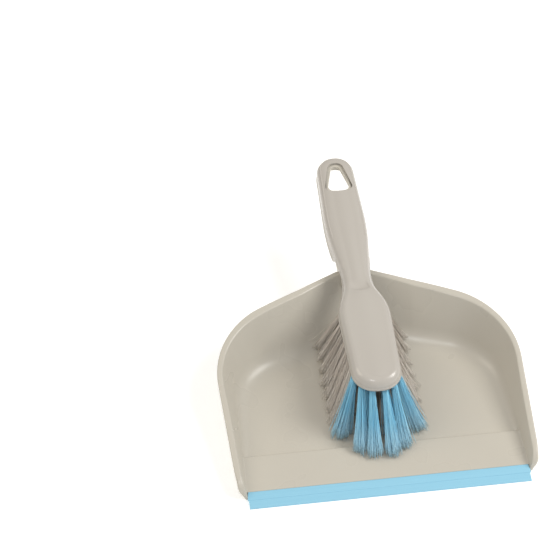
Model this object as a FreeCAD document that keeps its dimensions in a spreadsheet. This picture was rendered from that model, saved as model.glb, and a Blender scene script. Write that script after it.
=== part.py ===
import FreeCAD, Part
import math
import os

import Sketcher

# Dust pan and brush set, brush clipped over the pan's handle.
# Lengths are in millimetres and angles in degrees. Every Y below is measured from the
# lip's front edge, and the finished parts are shifted so that the set stands centred on
# the origin, lip towards -Y and handle towards +Y.

doc = FreeCAD.newDocument("dust_pan_and_brush")
V = FreeCAD.Vector

# ---------------------------------------------------------------- driving dimensions
SIZES = {
    # whole set
    "set_length": 317.5,
    # lip strip
    "lip_half_width": 110.8,
    "lip_depth": 14.4,
    "lip_height": 3.5,
    "lip_edge_thickness": 0.9,
    "lip_step_position": 7.2,
    "lip_step_height": 1.9,
    "lip_end_step": 0.8,
    "lip_overlap": 0.3,
    "lip_band_bevel": 0.5,
    "lip_seam": 0.1,
    "lip_side_clearance": 0.2,
    "tongue_front": 8.4,
    "tongue_bottom": 1.1,
    "tongue_thickness": 1.3,
    "tongue_clearance": 0.05,
    "tongue_inset": 1.0,
    "tongue_root": 0.5,
    # pan tub
    "wall": 2.0,
    "floor_thickness": 2.2,
    "ramp_start_height": 3.4,
    "ramp_crest_height": 5.4,
    "ramp_crest_position": 49.0,
    "ramp_thickness": 2.2,
    "ramp_rib_front": 3.0,
    "ramp_rib_back": 2.0,
    "ramp_rib_side": 4.0,
    "tub_height": 52.0,
    "floor_front_half_width": 109.8,
    "floor_corner_half_width": 103.8,
    "floor_corner_position": 141.0,
    "floor_corner_radius": 52.0,
    "floor_waist_position": 154.5,
    "floor_waist_radius": 150.0,
    "floor_back_position": 163.0,
    "mouth_front_half_width": 126.4,
    "mouth_corner_half_width": 128.6,
    "mouth_corner_position": 150.5,
    "mouth_corner_radius": 76.0,
    "mouth_waist_position": 190.5,
    "mouth_waist_radius": 40.0,
    "mouth_back_position": 213.5,
    "waist_half_width": 45.0,
    "base_fillet_tip": 3.0,
    "base_fillet_front": 7.0,
    "base_fillet_back": 15.0,
    # rim flange
    "rim_thickness": 2.0,
    "rim_slope_share": 1.15,
    "rim_front_position": 10.0,
    "rim_tip_half_width": 117.0,
    "rim_side_position": 27.0,
    "rim_front_half_width": 119.0,
    "rim_corner_half_width": 124.9,
    "rim_corner_position": 153.0,
    "rim_corner_radius": 72.0,
    "rim_waist_position": 191.3,
    "rim_waist_radius": 60.0,
    "rim_back_position": 210.0,
    "rim_front_height": 12.7,
    "rim_front_radius": 15.2,
    "rim_peak_position": 183.3,
    "rim_peak_height": 44.4,
    "rim_peak_radius": 110.0,
    "rim_back_height": 41.2,
    "root_half_width": 12.0,
    "root_corner_radius": 14.0,
    # pan handle, under the brush handle
    "pan_handle_side_gap": 1.4,
    "pan_handle_end_side_gap": 1.3,
    "pan_handle_gap": 0.4,
    "pan_handle_radius": 30.0,
    "pan_handle_side_radius": 90.0,
    "pan_handle_end_flat": 0.2,
    "pan_handle_depth": 9.5,
    "pan_handle_rise": 16.5,
    "pan_handle_knee_radius": 6.0,
    "pan_handle_hollow_depth": 38.0,
    "pan_handle_mouth": 6.0,
    "pan_root_inset": 1.5,
    "pan_root_front": 14.0,
    "pan_root_back": 2.0,
    "pan_root_reach": 12.0,
    "pan_root_drop": 9.0,
    "pan_root_under": 1.0,
    "pan_root_lift": 0.5,
    "pan_root_foot": 3.5,
    "pan_root_slope_share": 0.4,
    "pan_hole_margin": 3.0,
    # brush moulding, its heights above the rim's back
    "brush_front": 65.5,
    "head_nose_half_width": 19.4,
    "head_nose_radius": 18.4,
    "head_half_width": 21.4,
    "head_shoulder_position": 146.0,
    "head_shoulder_radius": 55.0,
    "neck_half_width": 11.0,
    "neck_position": 178.0,
    "neck_radius": 70.0,
    "handle_half_width": 18.0,
    "handle_widest_position": 236.0,
    "handle_side_radius": 250.0,
    "handle_end_half_width": 15.6,
    "handle_end_radius": 15.3,
    "nose_top_rise": 16.6,
    "nose_under_rise": 5.8,
    "dimple_position": 160.0,
    "dimple_top_rise": 23.2,
    "dimple_length": 10.0,
    "dimple_bottom_rise": 20.1,
    "dimple_radius": 16.0,
    "handle_end_top_rise": 34.8,
    "neck_under_position": 165.0,
    "neck_under_rise": 11.2,
    "skirt_step_position": 206.0,
    "skirt_step_top_rise": 13.8,
    "skirt_step_length": 8.0,
    "skirt_step_bottom_rise": 6.6,
    "skirt_step_radius": 4.0,
    "skirt_end_rise": 18.4,
    "brush_wall": 2.4,
    "top_edge_radius": 5.0,
    "under_edge_radius": 0.8,
    "brush_hollow_radius": 4.0,
    # hanging hole of the brush
    "hole_base_position": 278.0,
    "hole_apex_position": 307.5,
    "hole_base_half_width": 12.7,
    "hole_apex_half_width": 5.6,
    "hole_base_radius": 4.2,
    "hole_apex_radius": 5.6,
    "hole_base_slant": 1.15,
    "hole_apex_slant": 0.85,
    # tufts and anchors
    "tuft_radius": 2.1,
    "tuft_hole_clearance": 0.05,
    "tuft_depth": 9.0,
    "tuft_neck": 0.8,
    "inner_column": 5.0,
    "outer_column": 15.0,
    "row_pitch": 9.0,
    "outer_row_shift": 5.3,
    "first_row_position": 84.5,
    "arc_inner_position": 74.8,
    "arc_outer_position": 81.0,
    "arc_outer_column": 12.1,
    "arc_inner_column": 4.8,
    "nose_fan": 1.45,
    "fan": 2.05,
    "nose_lean": 37.0,
    "front_lean": 34.0,
    "rear_lean": 6.0,
    "nose_tip_half_width": 6.0,
    "tip_half_width": 7.6,
    "tip_half_depth": 4.1,
    "tip_gap": 0.5,
    "anchor_bite": 0.4,
    "anchor_thickness": 0.4,
    "anchor_height": 1.8,
    "anchor_top_gap": 1.0,
    # how far cutting forms run past what they cut
    "overrun": 20.0,
    "short_overrun": 1.0,
}

ROW_COUNT = 8            # rows of four tufts behind the nose arc
BLUE_ROWS = 1            # rows behind the arc that are still blue
SAME_PLACE = 1e-4        # points nearer than this lie on one plane
UPRIGHT = 0.01           # largest tilt of a normal on an upright wall
FACING = 0.3             # smallest tilt of a normal on a face that looks up or down

sheet = doc.addObject("Spreadsheet::Sheet", "sizes")
for line, (name, value) in enumerate(SIZES.items(), start=1):
    sheet.set(f"A{line}", name)
    sheet.set(f"B{line}", str(value))
    sheet.setAlias(f"B{line}", name)
doc.recompute()


def size(expression):
    """Value of an arithmetic expression over the sheet's names."""
    probe = sheet.evalExpression(expression_for_sheet(expression))
    return float(getattr(probe, "Value", probe))


def expression_for_sheet(expression):
    return expression.replace("sizes.", "")


def bind(obj, prop, expression):
    obj.setExpression(prop, expression)


# ---------------------------------------------------------------- sketches
def outline(name, corners, plane="XY", height="0", body=None):
    """Closed sketch of straight lines whose corners are rounded.

    A corner is (across, along, radius), each an expression over the sheet, and a radius
    of None is a sharp corner. Each line runs through its two corner points, so the
    corners alone fix the outline. plane is XY at the given height, or YZ, and a body's
    sketch is attached to the body's own origin plane.
    """
    if body:
        sketch = body.newObject("Sketcher::SketchObject", name)
        origin = [item for item in body.Origin.OriginFeatures if item.Role == plane + "_Plane"]
        sketch.AttachmentSupport = [(origin[0], "")]
        sketch.MapMode = "FlatFace"
    else:
        sketch = doc.addObject("Sketcher::SketchObject", name)
        if plane == "YZ":
            sketch.Placement = FreeCAD.Placement(V(0, 0, 0), FreeCAD.Rotation(V(1, 1, 1), 120))
        bind(sketch, "Placement.Base.z", height)
    points = [V(size(across), size(along), 0) for across, along, _ in corners]
    count = len(corners)

    starts = [None] * count
    ends = [None] * count
    arcs = {}
    for i, (_, _, radius) in enumerate(corners):
        if radius is None:
            starts[i] = ends[i] = points[i]
            continue
        before = (points[i - 1] - points[i]).normalize()
        after = (points[(i + 1) % count] - points[i]).normalize()
        half = before.getAngle(after) / 2
        reach = size(radius) / math.tan(half)
        ends[i] = points[i] + before * reach
        starts[i] = points[i] + after * reach
        bisector = (before + after).normalize()
        middle = points[i] + bisector * (size(radius) / math.sin(half) - size(radius))
        arcs[i] = Part.Arc(ends[i], middle, starts[i])

    lines = [sketch.addGeometry(Part.LineSegment(starts[i], ends[(i + 1) % count]), False)
             for i in range(count)]
    for i, (across, along, radius) in enumerate(corners):
        previous = lines[i - 1]
        if radius is None:
            sketch.addConstraint(Sketcher.Constraint("Coincident", previous, 2, lines[i], 1))
            fixed, spot = lines[i], 1
        else:
            arc = sketch.addGeometry(arcs[i], False)
            first = sketch.getPoint(arc, 1).isEqual(ends[i], 1e-6)
            into, out = (1, 2) if first else (2, 1)
            sketch.addConstraint(Sketcher.Constraint("Tangent", previous, 2, arc, into))
            sketch.addConstraint(Sketcher.Constraint("Tangent", arc, out, lines[i], 1))
            rounding = sketch.addConstraint(Sketcher.Constraint("Radius", arc, size(radius)))
            sketch.setExpression(f"Constraints[{rounding}]", radius)
            fixed, spot = sketch.addGeometry(Part.Point(points[i]), True), 1
            sketch.addConstraint(Sketcher.Constraint("PointOnObject", fixed, 1, previous))
            sketch.addConstraint(Sketcher.Constraint("PointOnObject", fixed, 1, lines[i]))
        place(sketch, fixed, spot, "DistanceX", points[i].x, across)
        place(sketch, fixed, spot, "DistanceY", points[i].y, along)
    return sketch


def place(sketch, geometry, spot, kind, value, expression):
    """Dimension one point from the sketch's origin."""
    index = sketch.addConstraint(Sketcher.Constraint(kind, -1, 1, geometry, spot, value))
    sketch.setExpression(f"Constraints[{index}]", expression)


def mirrored(right):
    """Corners of a symmetrical outline from those on its right half, front to back."""
    left = [("-(" + across + ")", along, radius) for across, along, radius in reversed(right)]
    return right + left


# ---------------------------------------------------------------- solids
def extrusion(name, sketch, direction, forward, backward="0"):
    solid = doc.addObject("Part::Extrusion", name)
    solid.Base = sketch
    solid.DirMode = "Custom"
    solid.Dir = direction
    solid.Solid = True
    bind(solid, "LengthFwd", forward)
    bind(solid, "LengthRev", backward)
    return solid


def combine(kind, name, shapes):
    result = doc.addObject(kind, name)
    result.Shapes = shapes
    return result


def cut(name, base, tool):
    result = doc.addObject("Part::Cut", name)
    result.Base = base
    result.Tool = tool
    return result


def loft(name, sections):
    solid = doc.addObject("Part::Loft", name)
    solid.Sections = sections
    solid.Solid = True
    solid.Ruled = True
    return solid


def label(obj, node):
    """Give a finished sub-part its node name and centre the set on the origin."""
    obj.Label = node
    bind(obj, "Placement.Base.y", "-sizes.set_length / 2")
    NODES.append(obj)


NODES = []
UP = V(0, 0, 1)
ACROSS = V(1, 0, 0)
SPAN = "sizes.rim_corner_half_width + sizes.overrun"


# ---------------------------------------------------------------- pan moulding
def tub(name, inside, front):
    """Drafted tub between a floor outline and a mouth outline, drawn in at its back's waist.

    inside is how far it lies within the tub's outer face, as an expression, and front
    is where it starts, on the straight line from the tip of the wall to the corner.
    """
    def front_half_width(level):
        tip = f"(sizes.{level}_front_half_width + sizes.wall - ({inside}))"
        narrowing = f"(sizes.{level}_corner_half_width - sizes.{level}_front_half_width)"
        side_length = (f"(sizes.{level}_corner_position + sizes.wall - ({inside})"
                       " - sizes.rim_front_position)")
        return f"{tip} + {narrowing} * ({front} - sizes.rim_front_position) / {side_length}"

    bottom = outline(name + "_floor", mirrored([
        (front_half_width("floor"), front, None),
        (f"sizes.floor_corner_half_width + sizes.wall - ({inside})",
         f"sizes.floor_corner_position + sizes.wall - ({inside})",
         f"sizes.floor_corner_radius - ({inside})"),
        ("sizes.waist_half_width", f"sizes.floor_waist_position + sizes.wall - ({inside})",
         "sizes.floor_waist_radius"),
        ("sizes.root_half_width", f"sizes.floor_back_position + sizes.wall - ({inside})",
         "sizes.root_corner_radius"),
    ]))
    mouth = outline(name + "_mouth", mirrored([
        (front_half_width("mouth"), front, None),
        (f"sizes.mouth_corner_half_width + sizes.wall - ({inside})",
         f"sizes.mouth_corner_position + sizes.wall - ({inside})",
         f"sizes.mouth_corner_radius - ({inside})"),
        ("sizes.waist_half_width", f"sizes.mouth_waist_position + sizes.wall - ({inside})",
         "sizes.mouth_waist_radius"),
        ("sizes.root_half_width", f"sizes.mouth_back_position + sizes.wall - ({inside})",
         "sizes.root_corner_radius"),
    ]), height="sizes.tub_height")
    return loft(name, [bottom, mouth])


def rim_line(name, drop, above):
    """Side view of everything above or below the rim, lowered by drop."""
    curve = [
        (f"sizes.rim_front_position + ({drop})", "-sizes.tub_height", None),
        (f"sizes.rim_front_position + ({drop})", f"sizes.rim_front_height - ({drop})",
         f"sizes.rim_front_radius - ({drop})"),
        ("sizes.rim_peak_position", f"sizes.rim_peak_height - ({drop}) * sizes.rim_slope_share",
         "sizes.rim_peak_radius"),
        ("sizes.rim_back_position + sizes.overrun",
         f"sizes.rim_back_height - ({drop}) * sizes.rim_slope_share"
         " + sizes.overrun * (sizes.rim_back_height - sizes.rim_peak_height)"
         " / (sizes.rim_back_position - sizes.rim_peak_position)", None),
    ]
    if above:
        closing = [("sizes.rim_back_position + sizes.overrun", "sizes.tub_height * 2", None),
                   ("-sizes.tub_height", "sizes.tub_height * 2", None),
                   ("-sizes.tub_height", "-sizes.tub_height", None)]
    else:
        closing = [("sizes.rim_back_position + sizes.overrun", "-sizes.tub_height", None)]
    side = outline(name + "_side", curve + closing, plane="YZ")
    return extrusion(name, side, ACROSS, SPAN, SPAN)


def build_pan():
    tub_outside = tub("tub_outside", "0", "sizes.rim_front_position")
    rim_outline = outline("rim_outline", mirrored([
        ("sizes.rim_tip_half_width", "sizes.rim_front_position", None),
        ("sizes.rim_front_half_width", "sizes.rim_side_position", "sizes.rim_side_position"),
        ("sizes.rim_corner_half_width", "sizes.rim_corner_position",
         "sizes.rim_corner_radius"),
        ("sizes.waist_half_width", "sizes.rim_waist_position", "sizes.rim_waist_radius"),
        ("sizes.root_half_width", "sizes.rim_back_position", "sizes.root_corner_radius"),
    ]))
    rim_prism = extrusion("rim_prism", rim_outline, UP, "sizes.tub_height")
    rim_plate = combine("Part::MultiCommon", "rim_plate",
                        [rim_prism, rim_line("above_flange", "sizes.rim_thickness", True)])
    doc.recompute()
    tub_rounded = doc.addObject("Part::Fillet", "tub_rounded")
    tub_rounded.Base = tub_outside
    tub_rounded.Edges = base_edges(tub_outside.Shape, size("sizes.base_fillet_tip"),
                                   size("sizes.base_fillet_back + sizes.wall"))
    blank = combine("Part::MultiFuse", "pan_blank", [tub_rounded, rim_plate])

    hollow_tool = tub("tub_inside", "sizes.wall", "sizes.ramp_crest_position")
    floor_block = outline("basin_side", [
        ("sizes.ramp_crest_position", "sizes.floor_thickness", None),
        ("sizes.mouth_back_position + sizes.overrun", "sizes.floor_thickness", None),
        ("sizes.mouth_back_position + sizes.overrun", "sizes.tub_height * 2", None),
        ("sizes.ramp_crest_position", "sizes.tub_height * 2", None),
    ], plane="YZ")
    above_floor = extrusion("above_floor", floor_block, ACROSS, SPAN, SPAN)
    basin = combine("Part::MultiCommon", "basin", [hollow_tool, above_floor])
    basin_rounded = doc.addObject("Part::Fillet", "basin_rounded")
    basin_rounded.Base = basin
    doc.recompute()
    basin_rounded.Edges = base_edges(basin.Shape, size("sizes.base_fillet_front"),
                                     size("sizes.base_fillet_back"))

    ramp_tool = tub("ramp_inside", "sizes.wall", "sizes.rim_front_position - sizes.overrun / 4")
    over_ramp = outline("over_ramp_side", [
        ("sizes.lip_depth - sizes.overrun", "sizes.ramp_start_height", None),
        ("sizes.lip_depth", "sizes.ramp_start_height", None),
        ("sizes.ramp_crest_position", "sizes.ramp_crest_height", None),
        ("sizes.ramp_crest_position", "sizes.tub_height * 2", None),
        ("sizes.lip_depth - sizes.overrun", "sizes.tub_height * 2", None),
    ], plane="YZ")
    above_ramp = extrusion("above_ramp", over_ramp, ACROSS, SPAN, SPAN)
    ramp_space = combine("Part::MultiCommon", "ramp_space", [ramp_tool, above_ramp])

    lip_space = outline("lip_space_side", [
        ("-sizes.lip_depth", "-sizes.lip_depth", None),
        ("sizes.lip_depth", "-sizes.lip_depth", None),
        ("sizes.lip_depth", "sizes.ramp_start_height + sizes.short_overrun", None),
        ("-sizes.lip_depth", "sizes.ramp_start_height + sizes.short_overrun", None),
    ], plane="YZ")
    lip_reach = "sizes.lip_half_width + sizes.lip_side_clearance"
    lip_tool = extrusion("lip_space", lip_space, ACROSS, lip_reach, lip_reach)
    rib_front = "sizes.lip_depth + sizes.ramp_rib_front"
    rib_back = "sizes.ramp_crest_position - sizes.ramp_rib_back"
    rib_side = "sizes.floor_front_half_width - sizes.ramp_rib_side"
    ramp_under = outline("ramp_under_side", [
        (rib_front, "-sizes.lip_depth", None),
        (rib_front, "sizes.ramp_start_height - sizes.ramp_thickness", None),
        (rib_back, "sizes.ramp_crest_height - sizes.ramp_thickness", None),
        (rib_back, "-sizes.lip_depth", None),
    ], plane="YZ")
    under_tool = extrusion("ramp_under", ramp_under, ACROSS, rib_side, rib_side)
    hollowing = combine("Part::MultiFuse", "pan_tools",
                        [basin_rounded, ramp_space, lip_tool, under_tool])
    tub_shell = combine("Part::MultiCommon", "tub_shell",
                        [cut("tub_hollowed", blank, hollowing),
                         rim_line("below_rim", "0", False)])

    tongue = doc.addObject("Part::Box", "tongue")
    bind(tongue, "Length", "2 * (sizes.lip_half_width - sizes.tongue_inset)")
    bind(tongue, "Width", "sizes.lip_depth - sizes.tongue_front + sizes.tongue_root")
    bind(tongue, "Height", "sizes.tongue_thickness")
    bind(tongue, "Placement.Base.x", "-(sizes.lip_half_width - sizes.tongue_inset)")
    bind(tongue, "Placement.Base.y", "sizes.tongue_front")
    bind(tongue, "Placement.Base.z", "sizes.tongue_bottom")

    handle = cut("pan_handle", pan_handle("pan_handle_outside", "0"), basin_rounded)
    handle_hollow = cut("pan_handle_hollow", pan_handle("pan_handle_inside", "sizes.wall"),
                        tub_outside)
    hole = hanging_hole("pan_hole", "sizes.pan_hole_margin")
    whole = combine("Part::MultiFuse", "pan_whole", [tub_shell, tongue, handle])
    opening = combine("Part::MultiFuse", "pan_openings", [handle_hollow, hole])
    label(cut("pan", whole, opening), "pan_body")


def base_edges(shape, front, back):
    """Bottom edges at the sides and back, the radius growing from front to back."""
    lowest = min(vertex.Point.z for vertex in shape.Vertexes)
    foremost = min(vertex.Point.y for vertex in shape.Vertexes)
    chosen = []
    for index, edge in enumerate(shape.Edges, start=1):
        places = [vertex.Point for vertex in edge.Vertexes]
        at_front = [place.y - foremost < SAME_PLACE for place in places]
        if max(place.z for place in places) - lowest > SAME_PLACE or all(at_front):
            continue
        radii = [front if near else back for near in at_front]
        chosen.append((index, *radii))
    return chosen


def above_rim(rise):
    """Height of a point of the brush, from its rise above the rim's back."""
    return f"(sizes.rim_back_height + sizes.{rise})"


def top_line(position):
    """Height of the brush handle's top at a position, on its straight stretch."""
    return ("(" + above_rim("handle_end_top_rise") + " - (sizes.set_length - (" + position + "))"
            " * (sizes.handle_end_top_rise - sizes.dimple_bottom_rise)"
            " / (sizes.set_length - sizes.dimple_position - sizes.dimple_length))")


def pan_handle(name, inside):
    """Outer form of the pan's handle, or its hollow when inside is the wall."""
    end = f"sizes.set_length - sizes.brush_wall - sizes.pan_handle_gap - ({inside})"
    root = f"sizes.root_half_width - sizes.pan_root_inset - ({inside})"
    widest = ("sizes.handle_half_width - sizes.brush_wall - sizes.pan_handle_side_gap"
              f" - ({inside})")
    narrow = ("sizes.handle_end_half_width - sizes.brush_wall - sizes.pan_handle_end_side_gap"
              f" - ({inside})")
    plan = outline(name + "_plan", mirrored([
        (root, "sizes.rim_back_position - sizes.pan_root_front", None),
        (root, "sizes.rim_back_position + sizes.pan_root_back", "sizes.pan_handle_radius"),
        (widest, "sizes.handle_widest_position", "sizes.pan_handle_side_radius"),
        (narrow, end, narrow + " - sizes.pan_handle_end_flat"),
    ]))
    lowered = f"(sizes.brush_wall + sizes.pan_handle_gap + ({inside}))"
    lip = "sizes.pan_handle_depth" if inside == "0" else "sizes.pan_handle_hollow_depth"
    shift = f" + ({inside}) * sizes.pan_root_slope_share"
    foot = "sizes.rim_back_position - sizes.pan_root_foot"
    head = "sizes.rim_back_position + sizes.pan_handle_rise"
    side = outline(name + "_side", [
        ("sizes.rim_back_position - sizes.pan_root_reach",
         "sizes.rim_back_height - sizes.pan_root_reach", None),
        ("sizes.rim_back_position - sizes.pan_root_reach",
         f"sizes.rim_back_height - ({inside})", None),
        (foot + shift, f"sizes.rim_back_height + sizes.pan_root_lift - ({inside})", None),
        (head + shift, top_line(head) + " - " + lowered, "sizes.pan_handle_knee_radius"),
        (end, top_line(end) + " - " + lowered, None),
        (end, top_line(end) + f" - {lowered} - {lip}", None),
        (head + " + sizes.pan_handle_mouth", top_line(head) + f" - {lowered} - {lip}", None),
        ("sizes.rim_back_position + sizes.pan_root_under",
         "sizes.rim_back_height - sizes.pan_root_drop", None),
    ], plane="YZ")
    return combine("Part::MultiCommon", name,
                   [extrusion(name + "_up", plan, UP, "sizes.tub_height * 2"),
                    extrusion(name + "_across", side, ACROSS, SPAN, SPAN)])


def hanging_hole(name, margin):
    """Rounded wedge of a hole, smaller all round by margin."""
    wedge = outline(name + "_outline", mirrored([
        (f"sizes.hole_base_half_width - ({margin}) * sizes.hole_base_slant",
         f"sizes.hole_base_position + ({margin})", f"sizes.hole_base_radius - ({margin}) / 3"),
        (f"sizes.hole_apex_half_width - ({margin}) * sizes.hole_apex_slant",
         f"sizes.hole_apex_position - ({margin})",
         f"sizes.hole_apex_radius - ({margin}) * sizes.hole_apex_slant"),
    ]))
    return extrusion(name, wedge, UP, "sizes.tub_height * 2")


# ---------------------------------------------------------------- lip strip
def build_lip():
    """Rubber strip: a thin wiping lip in front, a grooved band on the pan's tongue."""
    body = doc.addObject("PartDesign::Body", "lip")
    step = "sizes.lip_step_position"
    gap = "sizes.tongue_clearance"
    seam = "sizes.lip_depth - sizes.lip_seam"
    joint = step + " + sizes.lip_overlap"
    tongue_top = f"sizes.tongue_bottom + sizes.tongue_thickness + {gap}"
    tongue_under = f"sizes.tongue_bottom - {gap}"
    band = outline("band_section", [
        (step, "0", None),
        (step, "sizes.lip_step_height + sizes.lip_band_bevel", None),
        (seam, "sizes.lip_height", None),
        (seam, tongue_top, None),
        (f"sizes.tongue_front - {gap}", tongue_top, None),
        (f"sizes.tongue_front - {gap}", tongue_under, None),
        (seam, tongue_under, None),
        (seam, "0", None),
    ], plane="YZ", body=body)
    lip = outline("lip_section", [
        ("0", "0", None),
        ("0", "sizes.lip_edge_thickness", None),
        (joint, "sizes.lip_step_height", None),
        (joint, "0", None),
    ], plane="YZ", body=body)
    for profile, narrower in ((band, "0"), (lip, "sizes.lip_end_step")):
        pad = body.newObject("PartDesign::Pad", profile.Name + "_pad")
        pad.Profile = profile
        pad.Midplane = True
        bind(pad, "Length", f"2 * (sizes.lip_half_width - {narrower})")
    label(body, "lip_strip")


# ---------------------------------------------------------------- brush moulding
def head_under(position):
    """Height of the head's underside at a position."""
    return ("(" + above_rim("nose_under_rise") + " + (" + position + " - sizes.brush_front)"
            " * (sizes.neck_under_rise - sizes.nose_under_rise)"
            " / (sizes.neck_under_position - sizes.brush_front))")


def brush_block():
    """Solid outer form of the brush moulding with its top edge rounded."""
    plan = outline("brush_plan", mirrored([
        ("sizes.head_nose_half_width", "sizes.brush_front", "sizes.head_nose_radius"),
        ("sizes.head_half_width", "sizes.head_shoulder_position",
         "sizes.head_shoulder_radius"),
        ("sizes.neck_half_width", "sizes.neck_position", "sizes.neck_radius"),
        ("sizes.handle_half_width", "sizes.handle_widest_position",
         "sizes.handle_side_radius"),
        ("sizes.handle_end_half_width", "sizes.set_length", "sizes.handle_end_radius"),
    ]))
    step_foot = "sizes.skirt_step_position + sizes.skirt_step_length"
    front = "(sizes.brush_front - sizes.short_overrun)"
    back = "(sizes.set_length + sizes.short_overrun)"
    side = outline("brush_side", [
        (front, head_under(front), None),
        (front, above_rim("nose_top_rise"), None),
        ("sizes.dimple_position", above_rim("dimple_top_rise"), "sizes.dimple_radius"),
        ("sizes.dimple_position + sizes.dimple_length", above_rim("dimple_bottom_rise"),
         "sizes.dimple_radius"),
        (back, top_line(back), None),
        (back, above_rim("skirt_end_rise"), None),
        (step_foot, above_rim("skirt_step_bottom_rise"), "sizes.skirt_step_radius"),
        ("sizes.skirt_step_position", above_rim("skirt_step_top_rise"),
         "sizes.skirt_step_radius"),
        ("sizes.neck_under_position", above_rim("neck_under_rise"), "sizes.neck_radius"),
    ], plane="YZ")
    block = combine("Part::MultiCommon", "brush_block",
                    [extrusion("brush_up", plan, UP, "sizes.tub_height * 2"),
                     extrusion("brush_across", side, ACROSS, SPAN, SPAN)])
    doc.recompute()
    rounded = doc.addObject("Part::Fillet", "brush_rounded")
    rounded.Base = block
    rounded.Edges = (rim_edges(block.Shape, 1, size("sizes.top_edge_radius"))
                     + rim_edges(block.Shape, -1, size("sizes.under_edge_radius")))
    return rounded


def rim_edges(shape, facing, radius):
    """Edges where an upright side wall meets a face that looks up (1) or down (-1)."""
    def leaning(face):
        low, high, left, right = face.ParameterRange
        return face.normalAt((low + high) / 2, (left + right) / 2).z

    chosen = []
    for index, edge in enumerate(shape.Edges, start=1):
        faces = shape.ancestorsOfType(edge, Part.Face)
        tilts = [leaning(face) for face in faces]
        upright = [abs(tilt) < UPRIGHT for tilt in tilts]
        if sum(upright) == 1 and tilts[upright.index(False)] * facing > FACING:
            chosen.append((index, radius, radius))
    return chosen


def brush_hollow():
    """Hollow under the brush handle that the pan's handle fits into."""
    inside = "sizes.brush_wall"
    plan = outline("brush_hollow_plan", mirrored([
        (f"sizes.neck_half_width - {inside}", "sizes.neck_position", None),
        (f"sizes.handle_half_width - {inside}", "sizes.handle_widest_position",
         "sizes.handle_side_radius"),
        (f"sizes.handle_end_half_width - {inside}", f"sizes.set_length - {inside}",
         f"sizes.handle_end_radius - {inside}"),
    ]))
    slack = "sizes.pan_handle_gap * 2"
    head = f"sizes.rim_back_position + sizes.pan_handle_rise - {slack}"
    foot = f"sizes.rim_back_position - sizes.pan_root_foot - {slack}"
    side = outline("brush_hollow_side", [
        (foot, "sizes.rim_back_height", None),
        (head, top_line(head) + f" - {inside}", "sizes.brush_hollow_radius"),
        ("sizes.set_length", top_line("sizes.set_length") + f" - {inside}", None),
        ("sizes.set_length", "sizes.rim_back_height", None),
    ], plane="YZ")
    return combine("Part::MultiCommon", "brush_hollow",
                   [extrusion("hollow_up", plan, UP, "sizes.tub_height * 2"),
                    extrusion("hollow_across", side, ACROSS, SPAN, SPAN)])


# ---------------------------------------------------------------- tufts and anchors
def tuft_rows():
    """Rows of tufts from the nose to the heel: name, colour of filament, places."""
    last = f"(sizes.first_row_position + {ROW_COUNT} * sizes.row_pitch)"
    rows = [("nose", [(side + "sizes.arc_" + ring + "_column", f"sizes.arc_{ring}_position")
                      for ring in ("inner", "outer") for side in ("-", "")])]
    for row in range(ROW_COUNT):
        inner = f"(sizes.first_row_position + {row} * sizes.row_pitch)"
        outer = f"({inner} + sizes.outer_row_shift)"
        places = [(side + "sizes." + ring + "_column", position)
                  for ring, position in (("inner", inner), ("outer", outer))
                  for side in ("-", "")]
        rows.append((f"row_{row + 1}", places))
    rows.append(("heel", [(side + "sizes.inner_column", last) for side in ("-", "")]))
    return rows, last


def tip_place(across, along, last, front):
    """Where a tuft's free end lies, by how the tufts fan out from the head."""
    span = f"({last} - sizes.arc_inner_position)"
    if front:
        return (f"{across} * sizes.nose_fan", f"{along} - sizes.nose_lean",
                "sizes.ramp_crest_height + sizes.tip_gap")
    forward = f"({last} - {along}) / {span}"
    backward = f"(({along} - sizes.arc_inner_position) / {span}) ^ 3"
    tip_along = f"{along} - sizes.front_lean * {forward} + sizes.rear_lean * {backward}"
    tip_height = ("sizes.floor_thickness + sizes.tip_gap + " + head_under(along)
                  + " - " + head_under("sizes.first_row_position"))
    return f"{across} * sizes.fan", tip_along, tip_height


def moved(obj, across, along, height):
    bind(obj, "Placement.Base.x", across)
    bind(obj, "Placement.Base.y", along)
    bind(obj, "Placement.Base.z", height)
    return obj


def tuft(name, across, along, last, front):
    """One tuft, its anchor and its hole. The tuft is slotted where the anchor crosses."""
    top = head_under(along) + " + sizes.tuft_depth"
    sections = []
    for end, height in (("_fold", top), ("_neck", head_under(along) + " - sizes.tuft_neck")):
        circle = moved(doc.addObject("Part::Circle", name + end), across, along, height)
        bind(circle, "Radius", "sizes.tuft_radius")
        sections.append(circle)
    tip = doc.addObject("Part::Ellipse", name + "_tip")
    bind(tip, "MajorRadius", "sizes.nose_tip_half_width" if front else "sizes.tip_half_width")
    bind(tip, "MinorRadius", "sizes.tip_half_depth")
    sections.append(moved(tip, *tip_place(across, along, last, front)))

    anchor = doc.addObject("Part::Box", name + "_anchor")
    half_length = "(sizes.tuft_radius + sizes.anchor_bite)"
    bind(anchor, "Length", half_length + " * 2")
    bind(anchor, "Width", "sizes.anchor_thickness")
    bind(anchor, "Height", "sizes.anchor_height")
    moved(anchor, f"{across} - {half_length}",
          f"{along} - sizes.anchor_thickness / 2",
          f"{top} - sizes.anchor_top_gap - sizes.anchor_height")

    hole = doc.addObject("Part::Cylinder", name + "_hole")
    bind(hole, "Radius", "sizes.tuft_radius + sizes.tuft_hole_clearance")
    bind(hole, "Height", "sizes.tuft_depth * 2")
    moved(hole, across, along, f"{top} - sizes.tuft_depth * 2")
    return cut(name, loft(name + "_bundle", sections), anchor), anchor, hole


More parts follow.
